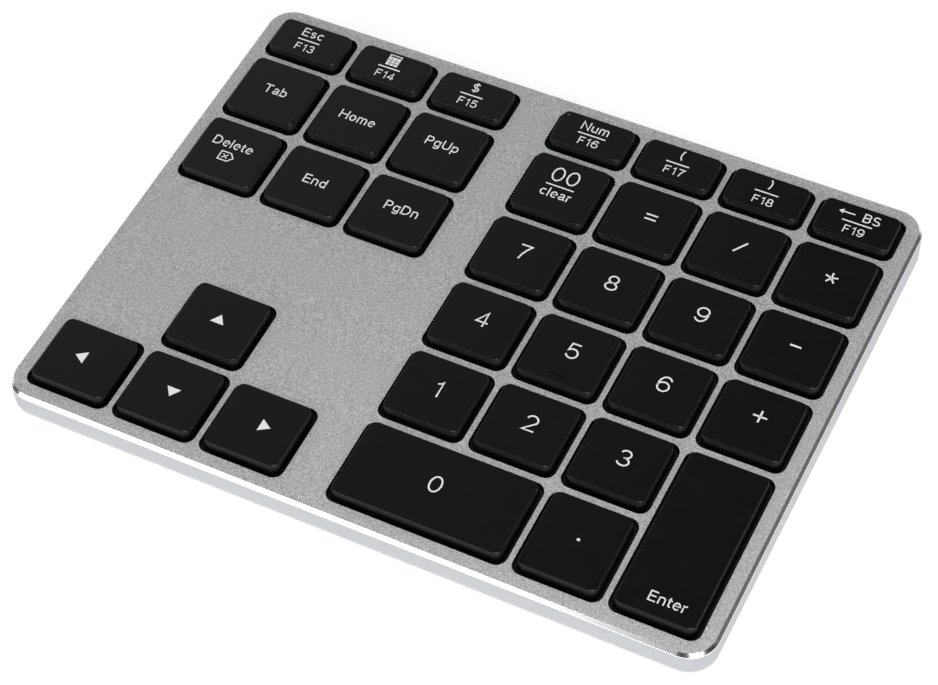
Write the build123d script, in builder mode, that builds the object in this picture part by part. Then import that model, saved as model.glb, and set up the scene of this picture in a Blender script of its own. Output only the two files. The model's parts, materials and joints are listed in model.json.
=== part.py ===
from build123d import *

import os
from math import asin, atan2, cos, degrees, radians, sin

os.makedirs("parts", exist_ok=True)

# A wedge-shaped wireless numeric keypad: low-travel scissor keys hang under a tilted
# aluminium deck plate that closes a plastic housing. Millimetres. The origin is the
# middle of the footprint on the desk, +Y points to the back edge and +Z up.

# Key field, measured along the deck
key_pitch = 19.0
row_pitch = 18.42
key_width = 15.67
key_depth = 14.88
function_key_depth = 8.81
zero_key_depth = 17.31
block_spacing = 26.97  # last navigation column to first number column
key_gap = 1.13  # top edge of a key to the edge of its window
edge_margin = 3.25  # outer windows to the edge of the case

# Case
foot_height = 1.0
front_height = 5.5  # case wall at the front edge
back_height = 7.7  # case wall at the back edge
case_corner = 5.8
case_wall = 1.5
case_floor = 1.2
case_bottom_round = 0.6
deck_thickness = 0.9
deck_chamfer = 0.6
window_corner = 2.2

# Keycaps, heights measured from the deck's upper face
cap_rise = 1.87
cap_skirt_drop = 0.4
cap_roof = 1.0
cap_wall = 0.8
cap_draft = 0.35  # how far the skirt stands out past the top edge
cap_corner = 1.4
cap_edge_round = 0.25
key_travel = 1.6
locating_bar_length = 3.2
locating_bar_width = 0.45
locating_bar_rise = 0.2
locating_bar_inset = 2.1  # front edge of the key to the bar
indicator_inset = 1.1  # back and left edges of the key to the light
indicator_hole = 0.8
lens_clearance = 0.05
led_size = (0.6, 0.6, 0.35)

# Layers under the keys, depths below the deck's upper face
membrane_depth = 2.4
membrane_thickness = 0.3
plate_thickness = 0.4
layer_clearance = 0.4  # layers to the inside of the housing walls
hole_clearance = 0.2

# Scissor linkages and domes
scissor_width = 11.0
scissor_length = 10.5
scissor_bar = 0.8
scissor_thickness = 0.6
scissor_play = 0.25  # linkage to the roof, the membrane and the skirt
scissor_side_gap = 0.15  # outer frame to inner frame
dome_base = 5.0
dome_top = 2.6
dome_skin = 0.35
dome_play = 0.1

# Stabiliser bars of the two long keys
wire = 0.8
wire_bend = 0.9
pivot_rise = 0.55  # pivot line above the membrane
pivot_offset = 6.4  # pivot line to the middle of the key
stabiliser_reach = 6.9
stabiliser_end_gap = 1.2  # arms to the inside of the skirt
stabiliser_tip = 1.9
tip_clearance = 0.07  # tips to the inside of the roof, key at rest
pivot_clearance = 0.05
lug_thickness = 0.9
lug_length = 2.8
lug_slot_length = 1.8
lug_slot_play = 0.15
lug_floor = 0.3
clip_length = 1.4
clip_width = 1.4
clip_cover = 0.35  # metal over the wire
clip_inset = 3.0  # clips to the arms

# Fasteners
screw_boss = 3.0
screw_shank = 1.4
screw_head = 2.6
screw_head_height = 0.7
screw_engagement = 1.6
rivet_boss = 2.2
rivet_shank = 1.0
rivet_head = 2.0
rivet_head_height = 0.4
rivet_depth = 1.1
fastener_clearance = 0.05

# Circuit board and what stands on it
board_width = 62.0
board_depth = 22.0
board_thickness = 0.8
board_left = 25.0  # left case edge to the board
board_gap = 0.7  # housing floor to board
board_back_gap = 0.4
board_post = 3.0
board_post_inset = 2.5
usb_width = 8.94
usb_height = 3.2
usb_length = 7.3
usb_wall = 0.3
usb_recess = 0.15
usb_sink = 0.3  # how far the socket hangs into the board
usb_tongue_width = 6.7
usb_tongue_height = 0.7
usb_tongue_length = 5.0
usb_clearance = 0.15
notch_width = 10.0  # plate opening over the socket and the membrane tail
notch_length = 19.0
tail_width = 5.0
tail_thickness = 0.2
tail_reach = 3.2
ribbon_connector = (6.4, 3.0, 0.9)
radio_size = (11.0, 8.0, 1.0)
radio_place = (50.0, 12.0)  # from the front left corner of the board
lead_diameter = 0.6
lead_spacing = 1.4
lead_place = 19.5  # left edge of the board to the leads
lead_connector = (4.2, 3.4, 0.7)
chips = [  # centre from the board's front left corner, then size
    (9.0, 13.0, 7.0, 7.0, 0.8),
    (20.0, 14.5, 3.0, 3.0, 0.6),
    (27.5, 16.0, 3.2, 2.5, 0.6),
    (44.0, 6.0, 2.0, 1.2, 0.5),
    (40.5, 6.0, 1.0, 0.5, 0.4),
    (14.5, 7.0, 1.0, 0.5, 0.4),
    (5.0, 6.0, 1.0, 0.5, 0.4),
]

# Battery, in the free area behind the Up key
battery_width = 49.0
battery_depth = 17.0
battery_height = 3.4
battery_round = 0.7
battery_corner = 1.5
battery_gap = 0.2  # housing floor to battery
battery_play = 0.8  # battery to the opening in the plate

# Power switch in the back wall
switch_place = 14.0  # right of the socket
switch_travel = 2.0
knob_width = 2.6
knob_height = 1.5
knob_clearance = 0.15
knob_corner = 0.3
stem_width = 1.0
stem_height = 0.7
stem_length = 1.5
switch_body_width = 6.6
switch_body_depth = 2.6
switch_body_wall = 0.35
switch_body_height = 1.5

# Rubber feet
foot_diameter = 9.0
foot_recess = 0.3
foot_round = 0.3
foot_inset = 9.0  # case edges to the middle of a foot
foot_clearance = 0.05

# Worked out: overall size and tilt
row_gap = row_pitch - key_depth
key_field_depth = function_key_depth + 3 * row_pitch + key_depth + 2 * row_gap + zero_key_depth
case_width = 2 * (edge_margin + key_gap) + key_width + 5 * key_pitch + block_spacing
deck_length = 2 * (edge_margin + key_gap) + key_field_depth
tilt = asin((back_height - front_height) / deck_length)
case_depth = deck_length * cos(tilt)
floor_top = foot_height + case_floor
deck_middle = foot_height + (front_height + back_height) / 2
tallest = foot_height + back_height + cap_rise

deck = Plane(origin=(0, 0, deck_middle), x_dir=(1, 0, 0), z_dir=(0, -sin(tilt), cos(tilt)))
deck_axis = Axis(deck.origin, deck.z_dir)
back_face = Plane(origin=(0, case_depth / 2, 0), x_dir=(-1, 0, 0), z_dir=(0, 1, 0))

# Worked out: key places on the deck
navigation = [-case_width / 2 + edge_margin + key_gap + key_width / 2 + i * key_pitch for i in range(3)]
numbers = [navigation[2] + block_spacing + i * key_pitch for i in range(4)]
back_line = deck_length / 2 - edge_margin - key_gap
front_line = -back_line
function_row = back_line - function_key_depth / 2
rows = [back_line - function_key_depth - row_gap - key_depth / 2 - i * row_pitch for i in range(4)]
zero_row = front_line + zero_key_depth / 2
arrow_row = front_line + key_depth / 2
up_row = arrow_row + row_pitch
enter_back = rows[3] + key_depth / 2

keys = {}  # name: (across, along, width, depth)
for name, place in zip(["escape", "calculator", "dollar"], navigation):
    keys[name] = (place, function_row, key_width, function_key_depth)
for name, place in zip(["num_lock", "open_bracket", "close_bracket", "backspace"], numbers):
    keys[name] = (place, function_row, key_width, function_key_depth)
for row, names in zip(rows, [["tab", "home", "page_up"], ["delete", "end", "page_down"]]):
    for name, place in zip(names, navigation):
        keys[name] = (place, row, key_width, key_depth)
keys["up"] = (navigation[1], up_row, key_width, key_depth)
for name, place in zip(["left", "down", "right"], navigation):
    keys[name] = (place, arrow_row, key_width, key_depth)
number_names = [
    ["double_zero", "equals", "divide", "multiply"],
    ["7", "8", "9", "minus"],
    ["4", "5", "6", "plus"],
    ["1", "2", "3"],
]
for row, names in zip(rows, number_names):
    for name, place in zip(names, numbers):
        keys[name] = (place, row, key_width, key_depth)
keys["0"] = ((numbers[0] + numbers[1]) / 2, zero_row, key_width + key_pitch, zero_key_depth)
keys["point"] = (numbers[2], zero_row, key_width, zero_key_depth)
keys["enter"] = (numbers[3], (enter_back + front_line) / 2, key_width, enter_back - front_line)
long_keys = {"0": 0, "enter": 90}  # name: turn of the long side from the row

# Worked out: web crossings, board, socket and battery places
gap_column = (navigation[2] + numbers[0]) / 2
number_webs = [place + key_pitch / 2 for place in numbers[:3]]
navigation_webs = [place + key_pitch / 2 for place in navigation[:2]]
function_web = back_line - function_key_depth - row_gap / 2
row_webs = [row - row_pitch / 2 for row in rows[:3]]
screw_places = [
    (navigation_webs[1], function_web),
    (number_webs[2], function_web),
    (gap_column, row_webs[0]),
    (gap_column, row_webs[2]),
    (number_webs[2], row_webs[2]),
    (navigation[0], up_row),
]
rivet_places = [(navigation_webs[0], function_web), (navigation_webs[0], row_webs[0])]
rivet_places += [(navigation_webs[1], row_webs[0]), (navigation[2], up_row)]
rivet_places += [(web, function_web) for web in number_webs[:2]]
rivet_places += [(web, row) for row in row_webs[:2] for web in number_webs]
rivet_places += [(web, row_webs[2]) for web in number_webs[:2]]
plate_top = membrane_depth + membrane_thickness
plate_bottom = plate_top + plate_thickness
board_bottom = floor_top + board_gap
board_top = board_bottom + board_thickness
board_edge_left = -case_width / 2 + board_left
board_edge_back = case_depth / 2 - case_wall - board_back_gap
board_edge_front = board_edge_back - board_depth
usb_middle = board_top - usb_sink + usb_height / 2
usb_back = case_depth / 2 - usb_recess
switch_middle = board_top + switch_body_height / 2
switch_across = gap_column + switch_place
battery_back_limit = rows[1] - key_depth / 2 - key_gap
battery_front_limit = up_row + key_depth / 2 + key_gap
battery_along = (battery_back_limit + battery_front_limit) / 2
battery_bottom = floor_top + battery_gap
notch_front = deck_length / 2 - notch_length
pivot_depth = membrane_depth - pivot_rise
tip_rise = pivot_depth + cap_rise - cap_roof - wire / 2 - tip_clearance  # tips above the pivot line
swing_rest = asin(tip_rise / stabiliser_reach)
swing_pressed = asin((tip_rise - key_travel) / stabiliser_reach)


def save(piece, name):
    piece.part.label = name
    export_step(piece.part, f"parts/{name}.step")


def on_deck(across, along, rise=0.0, turn=0.0):
    """A plane parallel to the deck, turned about the deck's normal by some degrees."""
    x_dir = deck.x_dir * cos(radians(turn)) + deck.y_dir * sin(radians(turn))
    return Plane(origin=deck.from_local_coords((across, along, rise)), x_dir=x_dir, z_dir=deck.z_dir)


def leaned(plane, angle):
    """The same plane turned about its own X axis by some degrees."""
    z_dir = plane.z_dir * cos(radians(angle)) - plane.y_dir * sin(radians(angle))
    return Plane(origin=plane.origin, x_dir=plane.x_dir, z_dir=z_dir)


def from_above(places, depth):
    """Places on the deck as seen straight from above, at a depth below it."""
    points = [deck.from_local_coords((across, along, -depth)) for across, along in places]
    return [(point.X, point.Y) for point in points]


def wedge(width, depth, corner, bottom, below_deck):
    """A block with upright walls and a top parallel to the deck."""
    with BuildPart() as block:
        with BuildSketch(Plane.XY.offset(bottom)):
            RectangleRounded(width, depth, corner)
        extrude(amount=tallest - bottom)
        split(bisect_by=deck.offset(-below_deck), keep=Keep.BOTTOM)
    return block.part


def posts(places, diameter, bottom, below_deck):
    """Upright round posts that end below the deck's upper face."""
    with BuildPart() as group:
        with BuildSketch(Plane.XY.offset(bottom)):
            with Locations(*places):
                Circle(diameter / 2)
        extrude(amount=tallest - bottom)
        split(bisect_by=deck.offset(-below_deck), keep=Keep.BOTTOM)
    return group.part


def box_on(places_and_sizes, bottom):
    """Separate blocks that stand on one level: centre across and along, then three sizes."""
    with BuildPart() as group:
        for across, along, width, depth, height in places_and_sizes:
            with BuildSketch(Plane.XY.offset(bottom)):
                with Locations((across, along)):
                    Rectangle(width, depth)
            extrude(amount=height)
    return group


# Deck plate: a window for every key, screw bosses and rivet bosses underneath
inner_width = case_width - 2 * case_wall
inner_depth = case_depth - 2 * case_wall
inner_corner = case_corner - case_wall
boss_places = from_above(screw_places, plate_bottom)

with BuildPart() as deck_plate:
    add(wedge(case_width, case_depth, case_corner, foot_height, 0))
    chamfer(deck_plate.faces().sort_by(deck_axis)[-1].edges(), deck_chamfer)
    add(wedge(2 * case_width, 2 * case_depth, case_corner, 0, deck_thickness), mode=Mode.SUBTRACT)
    with BuildSketch(deck):
        for across, along, width, depth in keys.values():
            with Locations((across, along)):
                RectangleRounded(width + 2 * key_gap, depth + 2 * key_gap, window_corner)
    extrude(amount=-2 * deck_thickness, mode=Mode.SUBTRACT)
    add(posts(boss_places, screw_boss, floor_top, deck_thickness / 2))
    with BuildSketch(deck.offset(-plate_top)):
        with Locations(*rivet_places):
            Circle(rivet_boss / 2)
    extrude(amount=plate_top - deck_thickness / 2)
    with BuildSketch(Plane.XY.offset(floor_top)):
        with Locations(*boss_places):
            Circle(screw_shank / 2 + fastener_clearance)
    extrude(amount=screw_engagement + hole_clearance, mode=Mode.SUBTRACT)
    with BuildSketch(deck.offset(-plate_top)):
        with Locations(*rivet_places):
            Circle(rivet_shank / 2 + fastener_clearance)
    extrude(amount=rivet_depth + hole_clearance, mode=Mode.SUBTRACT)
save(deck_plate, "deck_plate")

# Housing: floor and walls in one, with countersunk screw holes and the back openings
foot_across = case_width / 2 - foot_inset
foot_along = case_depth / 2 - foot_inset
foot_places = [(x, y) for x in (-foot_across, foot_across) for y in (-foot_along, foot_along)]
board_middle = (board_edge_left + board_width / 2, board_edge_front + board_depth / 2)
post_grid = (board_width - 2 * board_post_inset, board_depth - 2 * board_post_inset)

with BuildPart() as bottom_housing:
    add(wedge(case_width, case_depth, case_corner, foot_height, deck_thickness))
    fillet(bottom_housing.faces().sort_by(Axis.Z)[0].edges(), case_bottom_round)
    add(wedge(inner_width, inner_depth, inner_corner, floor_top, 0), mode=Mode.SUBTRACT)
    with BuildSketch(Plane.XY.offset(floor_top)):
        with Locations(board_middle):
            with GridLocations(*post_grid, 2, 2):
                Circle(board_post / 2)
    extrude(amount=board_gap)
    with BuildSketch(Plane.XY.offset(foot_height)):
        with Locations(*foot_places):
            Circle(foot_diameter / 2 + foot_clearance)
    extrude(amount=foot_recess, mode=Mode.SUBTRACT)
    with BuildSketch(Plane.XY.offset(foot_height)):
        with Locations(*boss_places):
            Circle(screw_head / 2 + hole_clearance / 2)
    extrude(amount=screw_head_height, mode=Mode.SUBTRACT)
    with BuildSketch(Plane.XY.offset(foot_height)):
        with Locations(*boss_places):
            Circle(screw_shank / 2 + hole_clearance / 2)
    extrude(amount=case_floor, mode=Mode.SUBTRACT)
    with BuildSketch(back_face):
        with Locations((-gap_column, usb_middle)):
            SlotOverall(usb_width + 2 * usb_clearance, usb_height + 2 * usb_clearance)
        with Locations((-switch_across - switch_travel / 2, switch_middle)):
            RectangleRounded(
                knob_width + switch_travel + 2 * knob_clearance,
                knob_height + 2 * knob_clearance,
                knob_corner,
            )
    extrude(amount=-2 * case_wall, mode=Mode.SUBTRACT)
save(bottom_housing, "bottom_housing")

with BuildPart() as rubber_feet:
    with BuildSketch(Plane.XY):
        with Locations(*foot_places):
            Circle(foot_diameter / 2)
    extrude(amount=foot_height + foot_recess)
    fillet(rubber_feet.edges().group_by(Axis.Z)[0], foot_round)
save(rubber_feet, "rubber_feet")

with BuildPart() as case_screws:
    with BuildSketch(Plane.XY.offset(foot_height)):
        with Locations(*boss_places):
            Circle(screw_head / 2)
    extrude(amount=screw_head_height)
    with BuildSketch(Plane.XY.offset(foot_height)):
        with Locations(*boss_places):
            RegularPolygon(screw_shank / 2, 6)
    extrude(amount=screw_head_height / 2, mode=Mode.SUBTRACT)
    with BuildSketch(Plane.XY.offset(foot_height + screw_head_height)):
        with Locations(*boss_places):
            Circle(screw_shank / 2)
    extrude(amount=case_floor - screw_head_height + screw_engagement)
save(case_screws, "case_screws")


def stabiliser_plane(name, rise=0.0):
    """On the deck over a long key's middle, with X along its long side."""
    across, along, width, depth = keys[name]
    return on_deck(across, along, rise, long_keys[name])


def long_side(name):
    return max(keys[name][2], keys[name][3])


def arm_place(name):
    """Middle of a long key to the arms of its stabiliser."""
    return long_side(name) / 2 + cap_draft - cap_wall - stabiliser_end_gap


def layer_outline(boss_hole, rivet_hole, clip_hole):
    """Outline and holes that the plate and the membrane share."""
    RectangleRounded(
        inner_width - 2 * layer_clearance,
        inner_depth - 2 * layer_clearance,
        inner_corner - layer_clearance,
    )
    with Locations((navigation[1], battery_along)):
        Rectangle(
            battery_width + 2 * battery_play,
            battery_depth + 2 * battery_play,
            mode=Mode.SUBTRACT,
        )
    with Locations((gap_column, deck_length / 2)):
        Rectangle(notch_width, 2 * notch_length, mode=Mode.SUBTRACT)
    with Locations(*screw_places):
        Circle(boss_hole / 2, mode=Mode.SUBTRACT)
    with Locations(*rivet_places):
        Circle(rivet_hole / 2, mode=Mode.SUBTRACT)
    if clip_hole:
        for name, turn in long_keys.items():
            across, along, width, depth = keys[name]
            with Locations(Location((across, along), turn)):
                with Locations((arm_place(name) - clip_inset, -pivot_offset)):
                    Rectangle(clip_hole, clip_hole, mode=Mode.SUBTRACT)
                with Locations((-arm_place(name) + clip_inset, -pivot_offset)):
                    Rectangle(clip_hole, clip_hole, mode=Mode.SUBTRACT)


# Steel plate that carries the keys, with the clips of the stabiliser bars
with BuildPart() as switch_plate:
    with BuildSketch(deck.offset(-plate_bottom)):
        layer_outline(screw_boss + 2 * hole_clearance, rivet_shank + 2 * fastener_clearance, 0)
    extrude(amount=plate_thickness)
    for name in long_keys:
        with BuildSketch(stabiliser_plane(name, -plate_top)):
            for side in (-1, 1):
                with Locations((side * (arm_place(name) - clip_inset), -pivot_offset)):
                    Rectangle(clip_length, clip_width)
        extrude(amount=plate_top - pivot_depth + wire / 2 + pivot_clearance + clip_cover)
        middle = stabiliser_plane(name, -pivot_depth)
        pivot = Plane(
            origin=middle.from_local_coords((0, -pivot_offset, 0)),
            x_dir=middle.y_dir,
            z_dir=middle.x_dir,
        )
        with BuildSketch(pivot):
            Circle(wire / 2 + pivot_clearance)
        extrude(amount=arm_place(name), both=True, mode=Mode.SUBTRACT)
save(switch_plate, "switch_plate")

# Membrane sheet, with its tail that drops to the ribbon connector
tail_start = deck.from_local_coords((gap_column, notch_front, -membrane_depth - membrane_thickness / 2))
connector_level = board_top + ribbon_connector[2] / 2
tail_line = [
    (tail_start.Y - layer_clearance, tail_start.Z),
    (tail_start.Y + tail_reach / 4, tail_start.Z),
    (tail_start.Y + tail_reach * 3 / 4, connector_level),
    (tail_start.Y + tail_reach, connector_level),
]
tail_edge = [(along, level + tail_thickness / 2) for along, level in tail_line]
tail_edge += [(along, level - tail_thickness / 2) for along, level in reversed(tail_line)]

with BuildPart() as membrane_sheet:
    with BuildSketch(deck.offset(-plate_top)):
        layer_outline(
            screw_boss + 2 * hole_clearance,
            rivet_boss + 2 * hole_clearance,
            clip_length + 2 * hole_clearance,
        )
    extrude(amount=membrane_thickness)
    with BuildSketch(Plane.YZ.offset(gap_column)):
        Polygon(*tail_edge, align=None)
    extrude(amount=tail_width / 2, both=True)
save(membrane_sheet, "membrane_sheet")

with BuildPart() as plate_rivets:
    with BuildSketch(deck.offset(-plate_bottom)):
        with Locations(*rivet_places):
            Circle(rivet_shank / 2)
    extrude(amount=plate_thickness + rivet_depth)
    with BuildSketch(deck.offset(-plate_bottom)):
        with Locations(*rivet_places):
            Circle(rivet_head / 2)
    extrude(amount=-rivet_head_height)
save(plate_rivets, "plate_rivets")

# Keycaps: a thin roof on a tapering skirt, open below
cap_height = cap_rise + cap_skirt_drop
cap_taper = degrees(atan2(cap_draft, cap_height))
tip_level = tip_rise - pivot_depth
tip_along = -pivot_offset + stabiliser_reach * cos(swing_rest)
tip_shift = stabiliser_reach * (cos(swing_pressed) - cos(swing_rest))


def stabiliser_lugs(name):
    """Slotted lugs under a long key that take the tips of its stabiliser."""
    slot_height = wire + 2 * lug_slot_play
    lug_bottom = tip_level - slot_height / 2 - lug_floor
    lug_across = arm_place(name) - stabiliser_tip + lug_thickness / 2
    lug_along = tip_along + tip_shift / 2
    middle = stabiliser_plane(name, tip_level)
    slot = Plane(
        origin=middle.from_local_coords((0, lug_along, 0)),
        x_dir=middle.y_dir,
        z_dir=middle.x_dir,
    )
    with BuildPart() as lugs:
        with BuildSketch(stabiliser_plane(name, cap_rise - cap_roof)):
            for side in (-1, 1):
                with Locations((side * lug_across, lug_along)):
                    Rectangle(lug_thickness, lug_length)
        extrude(amount=-(cap_rise - cap_roof - lug_bottom))
        with BuildSketch(slot):
            Rectangle(lug_slot_length, slot_height)
        extrude(amount=lug_across + lug_thickness, both=True, mode=Mode.SUBTRACT)
    return lugs.part


for name, (across, along, width, depth) in keys.items():
    with BuildPart() as keycap:
        with BuildSketch(on_deck(across, along, -cap_skirt_drop)):
            RectangleRounded(width + 2 * cap_draft, depth + 2 * cap_draft, cap_corner + cap_draft)
        extrude(amount=cap_height, taper=cap_taper)
        fillet(keycap.faces().sort_by(deck_axis)[-1].edges(), cap_edge_round)
        with BuildSketch(on_deck(across, along, -cap_skirt_drop)):
            RectangleRounded(
                width + 2 * (cap_draft - cap_wall),
                depth + 2 * (cap_draft - cap_wall),
                cap_corner + cap_draft - cap_wall,
            )
        extrude(amount=cap_height - cap_roof, mode=Mode.SUBTRACT)
        if name in long_keys:
            add(stabiliser_lugs(name))
        if name == "5":
            with BuildSketch(on_deck(across, along - depth / 2 + locating_bar_inset, cap_rise)):
                SlotOverall(locating_bar_length, locating_bar_width)
            extrude(amount=locating_bar_rise)
        if name == "num_lock":
            light = (across - width / 2 + indicator_inset, along + depth / 2 - indicator_inset)
            with BuildSketch(on_deck(*light, cap_rise)):
                Circle(indicator_hole / 2)
            extrude(amount=-cap_roof, mode=Mode.SUBTRACT)
    save(keycap, f"key_{name}")

with BuildPart() as indicator_lens:
    with BuildSketch(on_deck(*light, cap_rise)):
        Circle(indicator_hole / 2 - lens_clearance)
    extrude(amount=-cap_roof)
save(indicator_lens, "indicator_lens")

with BuildPart() as indicator_led:
    with BuildSketch(on_deck(*light, -membrane_depth)):
        Rectangle(led_size[0], led_size[1])
    extrude(amount=led_size[2])
save(indicator_led, "indicator_led")

# Scissor linkages: two crossed frames under every key, and a dome in the middle
scissor_room = cap_rise - cap_roof + membrane_depth


def scissor_frames(inner):
    """All the outer or inner frames, each a ring that leans across its partner."""
    narrower = 2 * (scissor_bar + scissor_side_gap) if inner else 0
    lean = -1 if inner else 1
    with BuildPart() as frames:
        for across, along, width, depth in keys.values():
            room = depth + 2 * (cap_draft - cap_wall - scissor_play)
            length = min(scissor_length, room)
            rise = scissor_room - scissor_thickness - 2 * scissor_play
            angle = degrees(asin(rise / (length - scissor_bar)))
            middle = on_deck(across, along, scissor_room / 2 - membrane_depth)
            with BuildSketch(leaned(middle, lean * angle)):
                Rectangle(scissor_width - narrower, length)
                Rectangle(
                    scissor_width - narrower - 2 * scissor_bar,
                    length - 2 * scissor_bar,
                    mode=Mode.SUBTRACT,
                )
            extrude(amount=scissor_thickness / 2, both=True)
    return frames


save(scissor_frames(inner=False), "scissor_outer_frames")
save(scissor_frames(inner=True), "scissor_inner_frames")

with BuildPart() as rubber_domes:
    for across, along, width, depth in keys.values():
        foot = on_deck(across, along, -membrane_depth)
        side = Plane(origin=foot.origin, x_dir=foot.x_dir, z_dir=-foot.y_dir)
        height = scissor_room - dome_play
        with BuildSketch(side):
            with BuildLine():
                Polyline(
                    (dome_base / 2, 0),
                    (dome_top / 2, height - dome_skin),
                    (dome_top / 2, height),
                    (0, height),
                    (0, height - dome_skin),
                    (dome_top / 2 - dome_skin, height - dome_skin),
                    (dome_base / 2 - dome_skin, 0),
                    close=True,
                )
            make_face()
        revolve(axis=Axis(foot.origin, foot.z_dir))
save(rubber_domes, "rubber_domes")

# Stabiliser bars: one bent wire each, pivoting in the plate's clips
for name in long_keys:
    middle = stabiliser_plane(name, -pivot_depth)
    arm = arm_place(name)
    pivot_line = middle.from_local_coords((0, -pivot_offset, 0))
    lean = leaned(
        Plane(origin=pivot_line, x_dir=middle.x_dir, z_dir=middle.z_dir),
        degrees(swing_rest),
    )
    with BuildPart() as stabiliser:
        with BuildLine(lean) as path:
            FilletPolyline(
                (-arm + stabiliser_tip, stabiliser_reach),
                (-arm, stabiliser_reach),
                (-arm, 0),
                (arm, 0),
                (arm, stabiliser_reach),
                (arm - stabiliser_tip, stabiliser_reach),
                radius=wire_bend,
            )
        with BuildSketch(Plane(origin=path.line @ 0, z_dir=path.line % 0)):
            Circle(wire / 2)
        sweep(path=path.line)
    label = "zero_key_stabiliser" if name == "0" else "enter_key_stabiliser"
    save(stabiliser, label)

# Circuit board with holes for the bosses and a notch for the socket
with BuildPart() as controller_board:
    with BuildSketch(Plane.XY.offset(board_bottom)):
        with Locations(board_middle):
            Rectangle(board_width, board_depth)
        with Locations(*boss_places):
            Circle(screw_boss / 2 + hole_clearance, mode=Mode.SUBTRACT)
        with Locations((gap_column, usb_back - usb_length / 2)):
            Rectangle(usb_width + 2 * usb_clearance, usb_length + 2 * usb_clearance, mode=Mode.SUBTRACT)
    extrude(amount=board_thickness)
save(controller_board, "controller_board")

radio_module = box_on(
    [(board_edge_left + radio_place[0], board_edge_front + radio_place[1], *radio_size)],
    board_top,
)
save(radio_module, "radio_module")

chip_places = [
    (board_edge_left + across, board_edge_front + along, *size) for across, along, *size in chips
]
board_components = box_on(chip_places, board_top)
save(board_components, "board_components")

ribbon_front = tail_start.Y + tail_reach
membrane_connector = box_on(
    [(gap_column, ribbon_front + ribbon_connector[1] / 2, *ribbon_connector)], board_top
)
save(membrane_connector, "membrane_connector")

lead_across = board_edge_left + lead_place
battery_connector = box_on(
    [(lead_across, board_edge_front + lead_connector[1] / 2, *lead_connector)], board_top
)
save(battery_connector, "battery_connector")

# Battery pouch and its two leads
battery_middle = from_above([(navigation[1], battery_along)], plate_top)[0]
with BuildPart() as battery_cell:
    with BuildSketch(Plane.XY.offset(battery_bottom)):
        with Locations(battery_middle):
            RectangleRounded(battery_width, battery_depth, battery_corner)
    extrude(amount=battery_height)
    fillet(battery_cell.faces().sort_by(Axis.Z)[-1].edges(), battery_round)
    fillet(battery_cell.faces().sort_by(Axis.Z)[0].edges(), battery_round)
save(battery_cell, "battery_cell")

battery_back = battery_middle[1] + battery_depth / 2
lead_level = board_top + lead_diameter / 2
with BuildPart() as battery_leads:
    with BuildSketch(Plane(origin=(0, battery_back, 0), x_dir=(-1, 0, 0), z_dir=(0, 1, 0))):
        for side in (-1, 1):
            with Locations((-lead_across + side * lead_spacing / 2, lead_level)):
                Circle(lead_diameter / 2)
    extrude(amount=board_edge_front - battery_back)
save(battery_leads, "battery_leads")

# Charging socket: a drawn metal shell around a contact tongue
with BuildPart() as usb_socket_shell:
    with BuildSketch(back_face.offset(-usb_recess)):
        with Locations((-gap_column, usb_middle)):
            SlotOverall(usb_width, usb_height)
    extrude(amount=-usb_length)
    with BuildSketch(back_face.offset(-usb_recess)):
        with Locations((-gap_column, usb_middle)):
            SlotOverall(usb_width - 2 * usb_wall, usb_height - 2 * usb_wall)
    extrude(amount=-(usb_length - usb_wall), mode=Mode.SUBTRACT)
save(usb_socket_shell, "usb_socket_shell")

with BuildPart() as usb_socket_tongue:
    with BuildSketch(back_face.offset(-usb_recess - usb_length + usb_wall)):
        with Locations((-gap_column, usb_middle)):
            Rectangle(usb_tongue_width, usb_tongue_height)
    extrude(amount=usb_tongue_length)
save(usb_socket_tongue, "usb_socket_tongue")

# Power switch: a hollow body on the board and a knob that slides in the back wall
switch_face = back_face.offset(-case_wall - knob_clearance)
cavity_width = stem_width + switch_travel + 2 * knob_clearance
with BuildPart() as power_switch_body:
    with BuildSketch(switch_face):
        with Locations((-switch_across - switch_travel / 2, switch_middle)):
            Rectangle(switch_body_width, switch_body_height)
    extrude(amount=-switch_body_depth)
    with BuildSketch(switch_face):
        with Locations((-switch_across - switch_travel / 2, switch_middle)):
            Rectangle(cavity_width, switch_body_height - 2 * switch_body_wall)
    extrude(amount=-(switch_body_depth - switch_body_wall), mode=Mode.SUBTRACT)
save(power_switch_body, "power_switch_body")

with BuildPart() as power_switch_knob:
    with BuildSketch(back_face):
        with Locations((-switch_across, switch_middle)):
            RectangleRounded(knob_width, knob_height, knob_corner)
    extrude(amount=-case_wall)
    with BuildSketch(back_face.offset(-case_wall)):
        with Locations((-switch_across, switch_middle)):
            Rectangle(stem_width, stem_height)
    extrude(amount=-(knob_clearance + stem_length))
save(power_switch_knob, "power_switch_knob")

if __name__ == "__main__":
    print(f"case {case_width:.2f} x {case_depth:.2f}, tilt {degrees(tilt):.2f} degrees")
    print(f"{len(keys)} keys, swing {degrees(swing_rest - swing_pressed):.2f} degrees")
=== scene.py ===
import json
from math import asin, cos, pi, radians, sin

import bmesh
import bpy
from mathutils import Matrix, Vector


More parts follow.
